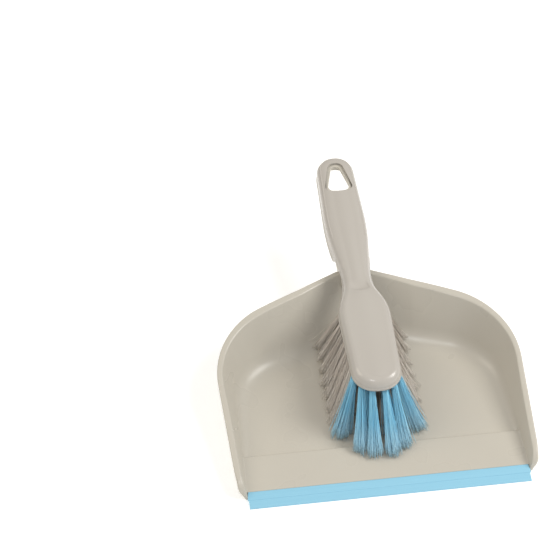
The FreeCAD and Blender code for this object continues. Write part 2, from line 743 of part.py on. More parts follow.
def build_brush():
    rows, last = tuft_rows()
    holes = []
    anchors = []
    for number, (row, places) in enumerate(rows):
        colour = "blue" if number <= BLUE_ROWS else "cream"
        made = [tuft(f"{row}_tuft_{place + 1}", across, along, last, number == 0)
                for place, (across, along) in enumerate(places)]
        for links, kind, name in (([item[0] for item in made], "tufts", f"{colour}_tufts_{row}"),
                                  ([item[1] for item in made], "anchors", f"anchors_{row}")):
            group = doc.addObject("Part::Compound", f"{kind}_{row}")
            group.Links = links
            label(group, name)
        anchors += [item[1] for item in made]
        holes += [item[2] for item in made]

    hollow = combine("Part::MultiFuse", "brush_openings",
                     [brush_hollow(), hanging_hole("brush_hole", "0")])
    seats = doc.addObject("Part::Compound", "tuft_seats")
    seats.Links = [combine("Part::MultiFuse", hole.Name + "_seat", [hole, anchor])
                   for hole, anchor in zip(holes, anchors)]
    shell = cut("brush_shell", brush_block(), hollow)
    label(cut("brush", shell, seats), "brush_body")


# ---------------------------------------------------------------- build, check and write
build_pan()
build_lip()
build_brush()
doc.recompute()

failed = [item.Name for item in doc.Objects
          if any(word in item.State for word in ("Invalid", "Error"))]
if failed:
    raise SystemExit("failed objects: " + ", ".join(failed))
for part in NODES:
    if part.Shape.isNull() or not part.Shape.isValid():
        raise SystemExit("bad shape: " + part.Label)

os.makedirs("parts", exist_ok=True)
for part in NODES:
    part.Shape.exportStep(f"parts/{part.Label}.step")
    box = part.Shape.BoundBox
    print(f"{part.Label:20s} solids {len(part.Shape.Solids):2d}  volume {part.Shape.Volume:10.1f}"
          f"  x {box.XMin:7.1f} {box.XMax:6.1f}  y {box.YMin:7.1f} {box.YMax:6.1f}"
          f"  z {box.ZMin:5.1f} {box.ZMax:5.1f}")
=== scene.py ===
import math

import bmesh
import bpy
import numpy as np
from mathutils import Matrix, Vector


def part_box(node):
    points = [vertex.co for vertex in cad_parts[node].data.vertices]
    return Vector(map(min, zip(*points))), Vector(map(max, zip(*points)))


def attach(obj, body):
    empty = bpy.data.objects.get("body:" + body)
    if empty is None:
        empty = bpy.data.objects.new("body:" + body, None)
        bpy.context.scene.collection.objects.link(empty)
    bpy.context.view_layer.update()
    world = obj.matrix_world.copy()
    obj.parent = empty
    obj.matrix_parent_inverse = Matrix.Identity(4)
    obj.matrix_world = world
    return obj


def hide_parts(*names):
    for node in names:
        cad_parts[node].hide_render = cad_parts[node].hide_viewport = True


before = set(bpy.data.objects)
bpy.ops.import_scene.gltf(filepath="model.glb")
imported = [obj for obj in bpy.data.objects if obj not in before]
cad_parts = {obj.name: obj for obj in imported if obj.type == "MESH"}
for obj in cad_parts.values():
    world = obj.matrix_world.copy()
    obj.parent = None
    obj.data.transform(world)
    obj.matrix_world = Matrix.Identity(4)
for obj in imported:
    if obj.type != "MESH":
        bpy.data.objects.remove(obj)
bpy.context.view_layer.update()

# Everything below is worked out in millimetres from the front edge of the pan's lip, with
# x across the pan, y towards the handle and z up. place() turns that into the row frame.
lipLow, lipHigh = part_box("lip_strip")
brushLow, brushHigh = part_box("brush_body")
perMetre = 1000.0
setLength = (brushHigh.y - lipLow.y) * perMetre


def place(points):
    points = np.asarray(points, float).reshape(-1, 3) / perMetre
    return points + np.array((0.0, lipLow.y, 0.0))


# mesh helpers
creaseAngle = 38   # degrees: an edge that turns more than this stays sharp


def newPiece(name, points, faces, body, nodes, material, smoothAngle=creaseAngle):
    mesh = bpy.data.meshes.new(name)
    mesh.from_pydata(place(points).tolist(), [], faces)
    piece = bpy.data.objects.new(name, mesh)
    bpy.context.scene.collection.objects.link(piece)
    mesh.materials.append(material)
    finishMesh(mesh, smoothAngle)
    if body:
        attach(piece, body)
        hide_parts(*nodes)
    return piece


def finishMesh(mesh, smoothAngle):
    work = bmesh.new()
    work.from_mesh(mesh)
    bmesh.ops.remove_doubles(work, verts=work.verts, dist=1e-6)
    bmesh.ops.dissolve_degenerate(work, edges=work.edges, dist=1e-6)
    bmesh.ops.recalc_face_normals(work, faces=work.faces)
    work.to_mesh(mesh)
    work.free()
    mesh.polygons.foreach_set("use_smooth", [True] * len(mesh.polygons))
    mesh.set_sharp_from_angle(angle=math.radians(smoothAngle))


def addQuads(faces, rows):
    for first, second in zip(rows, rows[1:]):
        for i in range(len(first) - 1):
            faces.append((first[i], first[i + 1], second[i + 1], second[i]))


mirror = np.array((-1.0, 1.0, 1.0))   # the set is the same on both sides of its middle


def addLoop(points, index, ring):
    # closes a ring whose right half runs from the front's middle to the back's
    loop = np.concatenate((ring, (ring * mirror)[-2:0:-1]))
    index.append(list(range(len(points), len(points) + len(loop))) + [len(points)])
    points += list(loop)


def roundedPath(corners, splits):
    # corners are (x, y, radius); splits holds the fractions along each straight and each
    # arc in turn; gives the points and their normals to the right of the way along
    points, normals = [], []
    start = np.array(corners[0][:2], float)
    for i in range(1, len(corners)):
        corner = np.array(corners[i][:2], float)
        before = corner - np.array(corners[i - 1][:2], float)
        heading = math.atan2(before[1], before[0])
        turn, reach, radius = 0.0, 0.0, 0.0
        if i < len(corners) - 1:
            after = np.array(corners[i + 1][:2], float) - corner
            turn = math.atan2(after[1], after[0]) - heading
            turn = (turn + math.pi) % (2 * math.pi) - math.pi
            radius = corners[i][2]
            reach = radius * math.tan(abs(turn) / 2)
        ahead = np.array((math.cos(heading), math.sin(heading)))
        end = corner - ahead * reach
        for f in splits[2 * i - 2]:
            points.append(start + (end - start) * f)
            normals.append((ahead[1], -ahead[0]))
        if i == len(corners) - 1:
            break
        side = math.copysign(1.0, turn)
        centre = end + np.array((-ahead[1], ahead[0])) * radius * side
        for f in splits[2 * i - 1]:
            angle = heading + turn * f
            normal = np.array((math.sin(angle), -math.cos(angle)))
            points.append(centre + normal * radius * side)
            normals.append(normal)
        angle = heading + turn
        start = corner + np.array((math.cos(angle), math.sin(angle))) * reach
    return np.array(points), np.array(normals)


def steps(count, last=False):
    return np.linspace(0, 1, count + 1)[: count + 1 if last else count]


def bend(start, corner, end, count):
    # points along a quadratic curve from start to end, pulled towards corner
    curve = []
    for f in np.linspace(0, 1, count + 1):
        curve.append(start * (1 - f) ** 2 + corner * 2 * f * (1 - f) + end * f ** 2)
    return curve


def smoothStep(value, low, high):
    f = np.clip((value - low) / (high - low), 0, 1)
    return f * f * (3 - 2 * f)


def applyModifiers(piece):
    graph = bpy.context.evaluated_depsgraph_get()
    mesh = bpy.data.meshes.new_from_object(piece.evaluated_get(graph))
    piece.modifiers.clear()
    old = piece.data
    piece.data = mesh
    mesh.name = old.name
    bpy.data.meshes.remove(old)


def joinSolids(piece, tool, operation):
    change = piece.modifiers.new("join", "BOOLEAN")
    change.operation = operation
    change.solver = "EXACT"
    change.object = tool
    applyModifiers(piece)
    bpy.data.objects.remove(tool)


# materials
def linear(hexColour):
    # sRGB hex to the linear colour that a shader socket takes
    values = [int(hexColour[i:i + 2], 16) / 255 for i in (1, 3, 5)]
    return [v / 12.92 if v <= 0.04045 else ((v + 0.055) / 1.055) ** 2.4 for v in values] + [1.0]


def addNode(tree, kind, inputs=None, **settings):
    node = tree.nodes.new(kind)
    for name, value in settings.items():
        setattr(node, name, value)
    for socket, value in (inputs or {}).items():
        if isinstance(value, bpy.types.NodeSocket):
            tree.links.new(value, node.inputs[socket])
        else:
            node.inputs[socket].default_value = value
    return node


def newMaterial(name):
    material = bpy.data.materials.new(name)
    material.use_nodes = True
    tree = material.node_tree
    return material, tree, tree.nodes["Principled BSDF"]


def patternScale(millimetres):
    # noise features are about one unit of texture space across, and space is in metres
    return perMetre / millimetres


def mouldedPlastic(name, look):
    material, tree, shader = newMaterial(name)
    place3d = addNode(tree, "ShaderNodeTexCoord").outputs["Object"]
    flow = addNode(tree, "ShaderNodeTexNoise", {
        "Vector": place3d, "Scale": patternScale(look["flowSize"]), "Detail": 3.0})
    tint = addNode(tree, "ShaderNodeMix", {
        "Factor": flow.outputs["Fac"], "A": linear(look["colour"]),
        "B": linear(look["flowColour"])}, data_type="RGBA")
    tree.links.new(tint.outputs["Result"], shader.inputs["Base Color"])
    rub = addNode(tree, "ShaderNodeTexNoise", {
        "Vector": place3d, "Scale": patternScale(look["rubSize"]), "Detail": 2.0})
    gloss = addNode(tree, "ShaderNodeMapRange", {
        "Value": rub.outputs["Fac"], "From Min": 0.35, "From Max": 0.7,
        "To Min": look["roughness"], "To Max": look["rubbedRoughness"]})
    tree.links.new(gloss.outputs["Result"], shader.inputs["Roughness"])
    ripple = addNode(tree, "ShaderNodeTexNoise", {
        "Vector": place3d, "Scale": patternScale(look["rippleSize"]), "Detail": 1.0})
    grain = addNode(tree, "ShaderNodeTexNoise", {
        "Vector": place3d, "Scale": patternScale(look["grainSize"]), "Detail": 2.0})
    wide = addNode(tree, "ShaderNodeBump", {
        "Height": ripple.outputs["Fac"], "Distance": look["rippleDepth"] / perMetre})
    fine = addNode(tree, "ShaderNodeBump", {
        "Height": grain.outputs["Fac"], "Distance": look["grainDepth"] / perMetre,
        "Normal": wide.outputs["Normal"]})
    tree.links.new(fine.outputs["Normal"], shader.inputs["Normal"])
    shader.inputs["IOR"].default_value = look["ior"]
    return material


# polypropylene injected into a polished mould: an even warm grey-beige with a clear gloss,
# faintly uneven where the melt flowed and cooled, and dulled in patches by sweeping
glossPolypropylene = mouldedPlastic("glossMouldedPolypropylene", {
    "colour": "#C8C3B7", "flowColour": "#C4BEB2", "flowSize": 60,
    "roughness": 0.26, "rubbedRoughness": 0.34, "rubSize": 40,
    "rippleSize": 26, "rippleDepth": 0.16, "grainSize": 2.0, "grainDepth": 0.002,
    "ior": 1.49})

# the same polymer from a finely blasted mould: a soft sheen, and grain too fine to see
# singly, so it is drawn at about three times its real size
satinPolypropylene = mouldedPlastic("satinMouldedPolypropylene", {
    "colour": "#BFBAB2", "flowColour": "#BBB5AD", "flowSize": 45,
    "roughness": 0.17, "rubbedRoughness": 0.26, "rubSize": 30,
    "rippleSize": 22, "rippleDepth": 0.06, "grainSize": 1.5, "grainDepth": 0.003,
    "ior": 1.49})

# extruded thermoplastic rubber: pale blue and nearly matt, with fine draw lines along it
rubberLook = {"colour": "#98D0E8", "lineColour": "#8FC8E2", "lineSpacing": 0.9,
              "roughness": 0.42, "lineDepth": 0.05, "ior": 1.5}


def extrudedRubber(name, look):
    material, tree, shader = newMaterial(name)
    place3d = addNode(tree, "ShaderNodeTexCoord").outputs["Object"]
    along = addNode(tree, "ShaderNodeMapping", {
        "Vector": place3d, "Scale": (0.02, 1.0, 1.0)}).outputs["Vector"]
    lines = addNode(tree, "ShaderNodeTexNoise", {
        "Vector": along, "Scale": patternScale(look["lineSpacing"]), "Detail": 3.0})
    tint = addNode(tree, "ShaderNodeMix", {
        "Factor": lines.outputs["Fac"], "A": linear(look["colour"]),
        "B": linear(look["lineColour"])}, data_type="RGBA")
    tree.links.new(tint.outputs["Result"], shader.inputs["Base Color"])
    relief = addNode(tree, "ShaderNodeBump", {
        "Height": lines.outputs["Fac"], "Distance": look["lineDepth"] / perMetre})
    tree.links.new(relief.outputs["Normal"], shader.inputs["Normal"])
    shader.inputs["Roughness"].default_value = look["roughness"]
    shader.inputs["IOR"].default_value = look["ior"]
    return material


softRubber = extrudedRubber("extrudedThermoplasticRubber", rubberLook)


def drawnFilament(name, look):
    material, tree, shader = newMaterial(name)
    tone = addNode(tree, "ShaderNodeAttribute", attribute_name="tone").outputs["Fac"]
    along = addNode(tree, "ShaderNodeAttribute", attribute_name="along").outputs["Fac"]
    body = addNode(tree, "ShaderNodeMix", {
        "Factor": tone, "A": linear(look["darkColour"]), "B": linear(look["colour"])},
        data_type="RGBA")
    worn = addNode(tree, "ShaderNodeMapRange", {
        "Value": along, "From Min": look["wornFrom"], "From Max": 1.0,
        "To Max": look["wornShare"]})
    tipped = addNode(tree, "ShaderNodeMix", {
        "Factor": worn.outputs["Result"], "A": body.outputs["Result"],
        "B": linear(look["tipColour"])}, data_type="RGBA")
    tree.links.new(tipped.outputs["Result"], shader.inputs["Base Color"])
    shader.inputs["Roughness"].default_value = look["roughness"]
    shader.inputs["IOR"].default_value = look["ior"]
    shader.inputs["Sheen Weight"].default_value = look["sheen"]
    return material


# drawn and crimped polyester filament: glossy along its length, chalky where the ends
# have been split
blueFilament = drawnFilament("drawnBlueFilament", {
    "colour": "#A4E6FF", "darkColour": "#84D2F2", "tipColour": "#D8F4FF",
    "wornFrom": 0.6, "wornShare": 0.6, "roughness": 0.3, "sheen": 0.2,
    "ior": 1.52})
creamFilament = drawnFilament("drawnCreamFilament", {
    "colour": "#E8DFD4", "darkColour": "#D6CCC0", "tipColour": "#F2EDE5",
    "wornFrom": 0.6, "wornShare": 0.6, "roughness": 0.36, "sheen": 0.2,
    "ior": 1.52})


# flat drawn steel wire: bright, with draw marks lengthwise
wireLook = {"colour": "#A9AAAC", "lightColour": "#C2C3C5", "markSpacing": 0.15,
            "roughness": 0.25, "markedRoughness": 0.45}


def drawnWire(name, look):
    material, tree, shader = newMaterial(name)
    place3d = addNode(tree, "ShaderNodeTexCoord").outputs["Object"]
    along = addNode(tree, "ShaderNodeMapping", {
        "Vector": place3d, "Scale": (0.03, 1.0, 1.0)}).outputs["Vector"]
    marks = addNode(tree, "ShaderNodeTexNoise", {
        "Vector": along, "Scale": patternScale(look["markSpacing"]), "Detail": 3.0})
    gloss = addNode(tree, "ShaderNodeMapRange", {
        "Value": marks.outputs["Fac"], "To Min": look["roughness"],
        "To Max": look["markedRoughness"]})
    tree.links.new(gloss.outputs["Result"], shader.inputs["Roughness"])
    tint = addNode(tree, "ShaderNodeMix", {
        "Factor": marks.outputs["Fac"], "A": linear(look["colour"]),
        "B": linear(look["lightColour"])}, data_type="RGBA")
    tree.links.new(tint.outputs["Result"], shader.inputs["Base Color"])
    shader.inputs["Metallic"].default_value = 1.0
    return material


anchorWire = drawnWire("flatDrawnSteelWire", wireLook)
for nodeName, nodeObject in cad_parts.items():
    if nodeName.startswith("anchors"):
        nodeObject.data.materials.clear()
        nodeObject.data.materials.append(anchorWire)
print("materials made")

# the pan
panSizes = {
    "wall": 2.0,
    "front": 10.0,               # where the side walls and the rim start
    "mouthHeight": 52.0,         # the mouth outline is drawn at this height
    "floorOutline": [(109.8, 10.0, 0), (103.8, 141.0, 50.0), (45.0, 154.5, 150.0),
                     (12.0, 163.0, 14.0), (0.0, 163.0, 0)],
    "mouthOutline": [(126.4, 10.0, 0), (128.6, 150.5, 74.0), (45.0, 190.5, 40.0),
                     (12.0, 213.5, 14.0), (0.0, 213.5, 0)],
    "rimOutline": [(109.0, 8.6, 0), (117.4, 11.5, 3.6), (119.0, 27.0, 40.0), (124.9, 153.0, 72.0),
                   (45.0, 191.3, 60.0), (12.0, 210.0, 14.0), (0.0, 210.0, 0)],
    "rimSide": [(10.0, -52.0, 0), (10.0, 12.7, 15.2), (183.3, 44.4, 110.0), (230.0, 38.8, 0)],
    "rampStart": 14.4,
    "rampFloor": [(14.4, 3.4), (47.0, 5.35), (47.9, 5.28), (48.6, 4.9), (49.2, 4.1), (49.6, 3.1),
                  (50.0, 2.45), (50.8, 2.2)],
    "filletFront": 7.0,
    "filletBack": 26.0,
    "rampFillet": 0.9,
    "tipFillet": 3.0,
    "flangeThickness": 1.9,
    "flangeEdge": 3.0,           # how far the flange's outer edge turns down
    "edgeRound": 1.7,
    "innerRound": 1.1,
    "floorWave": 0.18,           # how far the moulded floor is from flat
    "waveReach": (31.0, 27.0),   # mm per radian of the wave, across and along
    "columns": 36,
}


def panStations(s):
    # right half of the pan, front to middle: base, mouth and outward direction
    straightSteps = 22
    closest, latest = 0.0004, 0.999   # least spacing and last place, as shares of the side
    lengths = []
    for outline in (s["floorOutline"], s["mouthOutline"]):
        ends, _ = roundedPath(outline, [[0, 1], [0, 1], [0], [0], [0], [0], [0]])
        lengths.append(ends[1][1] - s["front"])
    rim, _ = roundedPath(s["rimSide"], [[], steps(14, True), [], [], []])
    marks = [(y - s["front"]) / (lengths[0] + (lengths[1] - lengths[0]) * z / s["mouthHeight"])
             for y, z in rim]
    marks += [(y - s["front"]) / lengths[0] for y, _ in s["rampFloor"]]
    marks += [(s["rampStart"] - 0.05 - s["front"]) / lengths[0]]
    marks += list(np.linspace(0, 1, straightSteps + 1)[:-1])
    marks = np.unique(np.round(np.array(marks), 5))
    keep = [marks[0]]
    for mark in marks[1:]:
        if mark - keep[-1] > closest and mark < latest:
            keep.append(mark)
    splits = [keep, steps(34), steps(30), steps(8), steps(12), steps(8),
              steps(s["columns"] // 2, True)]
    base, baseOut = roundedPath(s["floorOutline"], splits)
    mouth, mouthOut = roundedPath(s["mouthOutline"], splits)
    out = baseOut + mouthOut
    out /= np.linalg.norm(out, axis=1)[:, None]
    return base, mouth, out


def rimCurve(s):
    # y, height and upward direction along the rim seen from the side
    points, normals = roundedPath(s["rimSide"], [[], steps(40), steps(30), steps(30), [0, 1]])
    return points[:, 0], points[:, 1], -normals


def outlineHit(start, way, outline):
    # where a ray from start meets the outline
    best = None
    for a, b in zip(outline, outline[1:]):
        edge = b - a
        cross = way[0] * edge[1] - way[1] * edge[0]
        if abs(cross) < 1e-12:
            continue
        gap = a - start
        t = (gap[0] * edge[1] - gap[1] * edge[0]) / cross
        f = (gap[0] * way[1] - gap[1] * way[0]) / cross
        if t > 0 and -1e-6 <= f <= 1 + 1e-6 and (best is None or t < best):
            best = t
    return start + way * best


def panSection(s, base, mouth, out, rim, outline, share):
    # one station's section, from the floor over the rim to the underside
    rimY, rimZ, rimUp = rim

    def wallAt(z):
        return np.array((*(base + (mouth - base) * z / s["mouthHeight"]), z))

    low, high = 0.0, s["mouthHeight"]
    for _ in range(40):
        z = (low + high) / 2
        if np.interp(wallAt(z)[1], rimY, rimZ) > z:
            low = z
        else:
            high = z
    edge = wallAt(low)
    upY, upZ = (np.interp(edge[1], rimY, rimUp[:, axis]) for axis in (0, 1))
    up = np.array((0.0, upY, upZ))
    side = np.array((out[0], out[1], 0.0))

    floorY = [y for y, _ in s["rampFloor"]]
    floorZ = [z for _, z in s["rampFloor"]]
    onFloor = base[1] >= s["rampStart"] - 0.01
    ground = np.interp(base[1], floorY, floorZ) if onFloor else 0.0
    lean = math.atan2(np.linalg.norm(mouth - base), s["mouthHeight"])
    tangent = math.tan((math.pi / 2 - lean) / 2)
    full = (s["filletFront"] + (s["filletBack"] - s["filletFront"]) * share) * tangent
    behind = smoothStep(base[1], floorY[2], floorY[-1] + 1.0)
    reach = s["rampFillet"] + (full - s["rampFillet"]) * behind if onFloor else 0.0
    reach = min(reach, max(edge[2] - ground, 0) * 0.55)
    corner = wallAt(ground)
    section = []
    if reach > 0.05:
        section += bend(corner - side * reach, corner, wallAt(ground + reach), 8)
    else:
        section += [wallAt(ground + (edge[2] - ground) * 0.02 * i) for i in range(9)]

    # inner edge of the rim, flange, turned-down outer edge
    hit = outlineHit(edge[:2], out, outline)
    outer = np.array((hit[0], hit[1], np.interp(hit[1], rimY, rimZ)))
    across = outer - edge
    width = np.linalg.norm(across)
    across /= width
    soft = min(s["innerRound"], max(edge[2] - ground, 0.2) * 0.3)
    hard = min(s["edgeRound"], width * 0.45)
    section += bend(wallAt(edge[2] - soft), edge, edge + across * soft, 5)
    section += bend(outer - across * hard, outer, outer - up * hard, 6)
    turn = min(s["flangeEdge"], 0.9 * edge[2] + 1.9)
    thick = min(1.5, width * 0.35)
    lower = outer - up * turn
    section += bend(lower + up * 0.5, lower, lower - across * 0.5, 3)
    inner = lower - across * thick
    section += bend(inner + across * 0.4, inner, inner + up * 0.4, 2)
    section.append(outer - across * thick - up * (s["flangeThickness"] + 0.3))
    section.append(outer - across * (thick + 0.3) - up * s["flangeThickness"])
    under = edge + side * s["wall"] - up * s["flangeThickness"]
    section.append(under + across * 0.5)

    # outer wall and the rounded outer base
    foot = np.array((*(base + out * s["wall"]), 0.0))
    tall = max(under[2], 0.05)
    rise = (under - foot) / tall
    curve = s["tipFillet"] + (s["filletBack"] + s["wall"] - s["tipFillet"]) * share
    curve = min(curve * tangent, tall * 0.6)
    section.append(under - rise * min(0.6, tall * 0.2))
    section += bend(foot + rise * curve, foot, foot - side * curve, 8)
    section = np.array(section)
    section[:, 2] = np.maximum(section[:, 2], 0.0)
    return section


def buildPan(s):
    base, mouth, out = panStations(s)
    half = len(base)
    rim = rimCurve(s)
    outline, _ = roundedPath(s["rimOutline"], [[0, 1], steps(16), [0, 1], steps(16), [0, 1],
                                              steps(60), [0, 1], steps(16), [0, 1],
                                              steps(16), [0, 1]])
    run = np.concatenate([[0], np.cumsum(np.linalg.norm(np.diff(base, axis=0), axis=1))])
    crestRun = s["rampFloor"][-1][0] - s["front"]
    share = np.clip((run - crestRun) / (run[-1] - crestRun), 0, 1) ** 0.8
    right = [panSection(s, *station, rim, outline, part)
             for *station, part in zip(base, mouth, out, share)]
    sections = right + [section * mirror for section in right[-2::-1]]
    size = len(sections[0])
    points = list(np.concatenate(sections))
    count = len(sections)
    faces = []
    index = [[i * size + k for k in range(size)] for i in range(count)]
    addQuads(faces, index)

    first = next(i for i in range(half) if base[i][1] >= s["rampStart"] - 0.01)
    last = half - 1 - s["columns"] // 2
    waveX, waveY = s["waveReach"]
    floorRows, footRows = [], []
    for rows, spot in ((floorRows, 0), (footRows, size - 1)):
        for i in range(first, last + 1):
            a, b = index[i][spot], index[count - 1 - i][spot]
            if i == last:
                rows.append([index[j][spot] for j in range(last, count - last)])
                continue
            row = [a]
            for f in np.linspace(0, 1, s["columns"] + 1)[1:-1]:
                point = points[a] * (1 - f) + points[b] * f
                if spot == 0 and point[1] > s["rampFloor"][-1][0] + 2:
                    wave = math.sin(point[0] / waveX + 0.6) * math.sin(point[1] / waveY)
                    inset = min(f, 1 - f) * 8
                    point = point + np.array((0, 0, s["floorWave"] * wave * min(1, inset)))
                row.append(len(points))
                points.append(point)
            row.append(b)
            rows.append(row)
        addQuads(faces, rows)
    addQuads(faces, [floorRows[0], footRows[0]])

    # undersides and ends of the two tips in front of the ramp
    for side in (index[:first + 1], index[:count - first - 2:-1]):
        for a, b in zip(side, side[1:]):
            faces.append((a[0], b[0], b[-1], a[-1]))
        faces.append(tuple(side[0]))
    return points, faces


panPoints, panFaces = buildPan(panSizes)
print("pan:", len(panPoints), "points")
pan = newPiece("dustPan", panPoints, panFaces, "pan", ["pan_body"],
               glossPolypropylene)


# both handles are mouldings drawn as a loop round their plan outline
def moulding(outline, out, shape, columns):
    # outline is the right half, front middle to back middle, whose first and last
    # straights have half as many steps as there are columns
    half = len(outline)
    top, under, ceiling = shape["top"], shape["under"], shape["ceiling"]
    wide, deep = shape["topRound"]
    step, band = shape["band"]
    edge, wall = shape["underRound"], shape["wall"]
    topRings = 12
    crownEase = 16               # rows over which the crown rises from either end
    rings = []                   # how far in from the outline, and the height over y
    for angle in np.linspace(math.pi / 2, 0, topRings):
        inward = step + wide(outline[:, 1]) * (1 - math.cos(angle))
        fall = deep * (1 - math.sin(angle))
        rings.append((inward, lambda y, fall=fall: top(y) - shape["crown"] - fall))
    if step:
        rings.append((step, lambda y: under(y) + band + 0.3))
        rings.append((step * 0.85, lambda y: under(y) + band))
        rings.append((0.1, lambda y: under(y) + band - 0.25))
        rings.append((0.0, lambda y: under(y) + band - 0.5))
    else:
        rings.append((0.0, lambda y: 0.5 * (top(y) - deep + under(y))))
    rings.append((0.0, lambda y: under(y) + edge))
    rings.append((edge * 0.3, lambda y: under(y) + edge * 0.3))
    rings.append((edge, under))
    rings.append((wall - edge * 0.5, under))
    rings.append((wall, lambda y: np.minimum(under(y) + edge * 0.5, ceiling(y))))
    rings.append((wall + 0.3, ceiling))
    points, index = [], []
    for number, (inward, height) in enumerate(rings):
        ring = outline - out * np.reshape(inward, (-1, 1))
        ring = np.column_stack((ring, height(ring[:, 1])))
        if number < topRings:
            ring[:, 2] -= [shape["dent"](*point) for point in ring[:, :2]]
        addLoop(points, index, ring)
    faces = []
    addQuads(faces, index)
    count = 2 * half - 2
    start = columns // 2
    for spot in (0, len(rings) - 1):
        ring = index[spot]
        rows = [[ring[(start - j) % count] for j in range(columns + 1)]]
        for i in range(start + 1, half - 1 - start):
            a, b = ring[i], ring[count - i]
            row = [a]
            for f in np.linspace(0, 1, columns + 1)[1:-1]:
                point = points[a] * (1 - f) + points[b] * f
                if spot == 0:
                    crown = shape["crown"] * (1 - (2 * f - 1) ** 2) ** 2
                    crown *= smoothStep(i - start, 0, crownEase)
                    crown *= smoothStep(half - 1 - start - i, 0, crownEase)
                    point = point + np.array((0, 0, crown - shape["dent"](point[0], point[1])))
                row.append(len(points))
                points.append(point)
            row.append(b)
            rows.append(row)
        rows.append([ring[(half - 1 - start + j) % count] for j in range(columns + 1)])
        addQuads(faces, rows)
    return points, faces


def topLine(y):
    # straight top of the brush's handle, rising to its end
    b = brushSizes
    rise = (b["endTop"] - b["dentTop"]) / (setLength - b["dentBack"])
    return b["endTop"] - (setLength - y) * rise


brushSizes = {
    "front": (brushLow.y - lipLow.y) * perMetre,
    "endTop": 76.0,
    "noseTop": 57.8,
    "headTop": 64.4,
    "saddle": (156.0, 176.0, 60.0),   # where the head's top ends, the handle's starts, rounding
    "dentTop": 61.3,
    "dentBack": 170.0,
    "noseUnder": 47.0,
    "neckUnder": (165.0, 52.4),
    "skirtStep": (206.0, 55.0),
    "skirtFoot": (214.0, 47.8),
    "skirtEnd": 59.6,
    "wall": 2.4,
    "topRound": (6.2, 9.0, 6.4),   # across the head, across the handle, and down
    "roundEase": (185.0, 225.0),   # where the first goes over into the second
    "band": (0.45, 2.6),           # how far the lower band stands out, and its height
    "crown": 0.9,
    "underRound": 0.7,
    "outline": [(19.4, 0, 18.4), (21.4, 146.0, 55.0), (11.0, 178.0, 70.0), (18.0, 236.0, 250.0),
                (15.6, 0, 15.3)],
    "thumb": {"centre": 167.5, "halfWidth": 9.5, "forward": 6.5, "back": 11.0, "depth": 2.3},
    "hollowStart": (205.7, 41.2),
    "hollowTop": 225.7,
    "columns": 36,
}


def roundedProfile(corners):
    # height over y of a side view whose corners are rounded
    splits = []
    for _ in range(len(corners) - 1):
        splits += [[0, 1], steps(12)]
    points, _ = roundedPath(corners, splits)
    order = np.argsort(points[:, 0], kind="stable")
    return lambda y: np.interp(y, points[order, 0], points[order, 1])


def buildBrush(b):
    front, end = b["front"], setLength
    headEnd, handleStart, ease = b["saddle"]
    top = roundedProfile([
        (front - 1, b["noseTop"], 0), (headEnd, b["headTop"], ease),
        (handleStart, topLine(handleStart), ease), (end + 1, topLine(end + 1), 0)])
    under = roundedProfile([
        (front - 1, b["noseUnder"], 0), (*b["neckUnder"], 70), (*b["skirtStep"], 4),
        (*b["skirtFoot"], 4), (end + 1, b["skirtEnd"], 0)])

    def ceiling(y):
        startY, startZ = b["hollowStart"]
        slope = (topLine(b["hollowTop"]) - b["wall"] - startZ) / (b["hollowTop"] - startY)
        rising = startZ + (y - startY) * slope
        return np.maximum(under(y), np.minimum(rising, topLine(y) - b["wall"]))

    def dent(x, y):
        t = b["thumb"]
        reach = t["forward"] if y < t["centre"] else t["back"]
        far = (x / t["halfWidth"]) ** 2 + ((y - t["centre"]) / reach) ** 2
        if far >= 1:
            return 0.0
        return t["depth"] * (1 - far) ** 2

    nose, head, neck, wide, tail = b["outline"]
    corners = [(0, front, 0), (nose[0], front, nose[2]), head, neck, wide, (tail[0], end, tail[2]),
               (0, end, 0)]
    middle = b["columns"] // 2
    splits = [steps(middle), steps(30), steps(40), steps(26), steps(6), steps(44), steps(20),
              steps(14), steps(50), steps(30), steps(middle, True)]
    outline, out = roundedPath(corners, splits)
    onHead, onHandle, deep = b["topRound"]
    shape = {"top": top, "under": under, "ceiling": ceiling, "wall": b["wall"], "crown": b["crown"],
             "topRound": (lambda y: onHead + (onHandle - onHead) * smoothStep(y, *b["roundEase"]), deep),
             "band": b["band"], "underRound": b["underRound"], "dent": dent}
    return moulding(outline, out, shape, b["columns"])


def holeTool(hole, margin, topHeight, flare):
    # plug of the hanging hole's shape, smaller by the margin, opening out at the top face
    baseY, apexY = hole["base"] + margin, hole["apex"] - margin
    base = (hole["baseHalf"] - margin * 1.15, baseY, hole["baseRound"] - margin / 3)
    apex = (hole["apexHalf"] - margin * 0.85, apexY, hole["apexRound"] - margin * 0.85)
    corners = [(0, baseY, 0), base, apex, (0, apexY, 0)]
    outline, out = roundedPath(corners, [steps(8), steps(10), steps(16), steps(14), steps(5, True)])
    near = smoothStep(baseY + hole["bulgeReach"] - outline[:, 1], 0, hole["bulgeReach"])
    outline[:, 1] -= hole["bulge"] * near * (1 - (outline[:, 0] / hole["baseHalf"]) ** 2)
    points, index, faces = [], [], []
    levels = [(flare + 2.0, 2.0)]
    for angle in np.linspace(0, math.pi / 2, 7):
        levels.append((flare * (1 - math.sin(angle)), -flare * (1 - math.cos(angle))))
    levels.append((0.0, -hole["cutDepth"]))
    for outward, height in levels:
        ring = outline + out * outward
        ring = np.column_stack((ring, topHeight(ring[:, 1]) + height))
        addLoop(points, index, ring)
    addQuads(faces, index)
    faces.append(tuple(index[0][:-1]))
    faces.append(tuple(index[-1][:-1]))
    return newPiece("holeTool", points, faces, None, (), satinPolypropylene)


